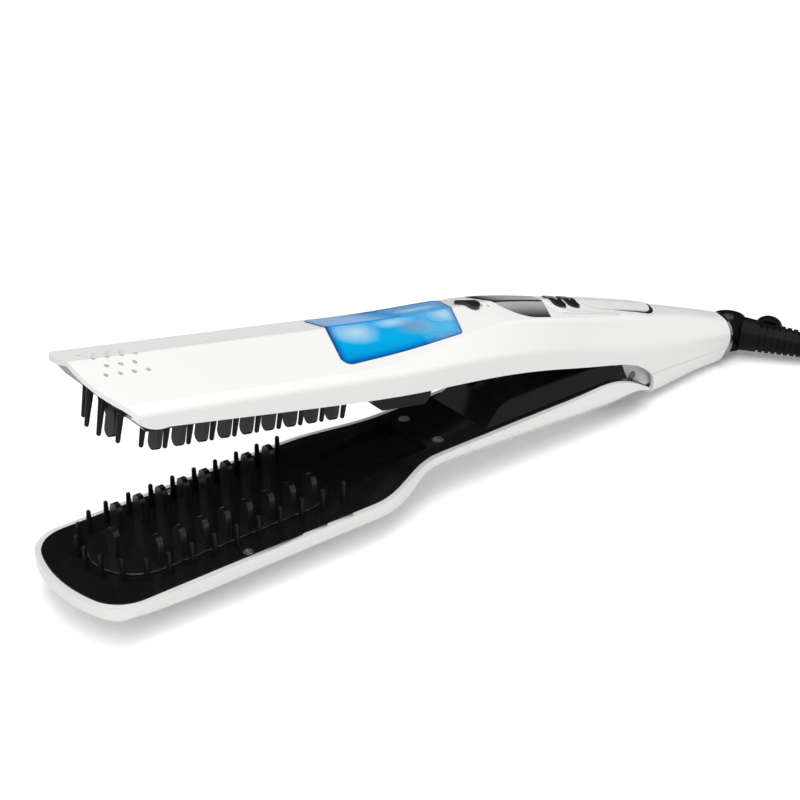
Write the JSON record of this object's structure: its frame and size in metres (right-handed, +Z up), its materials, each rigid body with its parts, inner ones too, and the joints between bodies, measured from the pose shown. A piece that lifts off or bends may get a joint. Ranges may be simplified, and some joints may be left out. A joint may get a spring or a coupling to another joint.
{
  "type": "steam hair straightener",
  "caption": "Two-armed steam hair straightener with comb plates, a clear water tank, a display, press and slide controls, a sprung arm hinge and a swivelling cord.",
  "frame": {"origin": "middle of the flat facet under the lower paddle, on which the open straightener rests", "axes": "+X along the lower arm towards the hinge, the handle and the cord; +Y across; +Z up"},
  "size_m": [0.5592, 0.1091, 0.101],
  "materials": {
    "white_shell": "gloss",
    "black_plate": "gloss",
    "comb_metal": "glossy ceramic coat",
    "heater": "satin",
    "insulator": "matt",
    "tank_blue": "clear tinted",
    "plug_rubber": "matt",
    "display": "mirror dark",
    "board": "satin",
    "controls": "satin",
    "steel": "satin",
    "dark_steel": "satin",
    "ring": "dark chrome",
    "cord_rubber": "satin",
    "tie": "matt",
    "brass": "satin",
    "grey_plastic": "satin"
  },
  "bodies": {
    "handle": {"upper_shell": "white_shell", "handle_cover": "white_shell", "upper_comb_plate": "black_plate", "upper_heating_comb": "comb_metal", "upper_heater": "heater", "steam_chamber": "heater", "pump_block": "black_plate", "upper_inner_cover": "black_plate", "display_window": "display", "lcd_panel": "grey_plastic", "circuit_board": "board", "tact_switches": "grey_plastic", "yoke_screws": "steel", "power_leads": "cord_rubber", "hinge_yoke": "dark_steel", "hinge_pin": "steel", "hinge_spring": "steel", "end_ring": "ring", "swivel_fork": "grey_plastic", "swing_pin": "steel"},
    "lower_arm": {"lower_shell": "white_shell", "lower_cover": "black_plate", "lower_heating_comb": "comb_metal", "lower_heater": "heater", "lower_insulator": "insulator", "lower_neck_screws": "steel", "lower_rim_screws": "steel", "hinge_bracket": "dark_steel"},
    "plunger": {"pump_plunger": "grey_plastic"},
    "tank": {"water_tank": "tank_blue", "tank_plug": "plug_rubber"},
    "steam_slider": {"steam_switch": "grey_plastic"},
    "plus_key": {"plus_button": "controls"},
    "minus_key": {"minus_button": "controls"},
    "thumb_key": {"thumb_plate": "controls"},
    "cord_end": {"cord_knuckle": "grey_plastic", "strain_relief": "cord_rubber", "cord": "cord_rubber", "cord_hank": "cord_rubber", "cord_tie": "tie", "plug": "cord_rubber", "plug_pins": "brass"}
  },
  "joints": [
    {"name": "arm_hinge", "type": "hinge", "parent": "handle", "child": "lower_arm", "pos_m": [0.2, 0, 0.0158], "axis": [0, 1, 0], "range_deg": [0, 10.9], "stiffness_Nm_per_rad": 1.6, "springref_deg": -25.78},
    {"name": "pump_press", "type": "slide", "parent": "handle", "child": "plunger", "axis": [0.1891, 0, 0.982], "range_m": [0, 0.002]},
    {"name": "tank_lift", "type": "slide", "parent": "handle", "child": "tank", "axis": [0.1891, 0, 0.982], "range_m": [0, 0.03]},
    {"name": "steam_switch_slide", "type": "slide", "parent": "handle", "child": "steam_slider", "axis": [0.9951, 0, -0.099], "range_m": [0, 0.004]},
    {"name": "plus_press", "type": "slide", "parent": "handle", "child": "plus_key", "axis": [-0.1891, 0, -0.982], "range_m": [0, 0.0008], "stiffness_N_per_m": 600, "springref_m": -0.001},
    {"name": "minus_press", "type": "slide", "parent": "handle", "child": "minus_key", "axis": [-0.1891, 0, -0.982], "range_m": [0, 0.0008], "stiffness_N_per_m": 600, "springref_m": -0.001},
    {"name": "thumb_press", "type": "hinge", "parent": "handle", "child": "thumb_key", "pos_m": [0.1784, 0, 0.04908], "axis": [0, 1, 0], "range_deg": [0, 3], "stiffness_Nm_per_rad": 0.4, "springref_deg": -8.59},
    {"name": "cord_swing", "type": "hinge", "parent": "handle", "child": "cord_end", "pos_m": [0.271, 0, 0.0104], "axis": [0, 0, 1], "range_deg": [-15, 110]}
  ],
  "couplings": [
    {"joint": "pump_press", "follows": "arm_hinge", "m_per_rad": 0.0105}
  ]
}
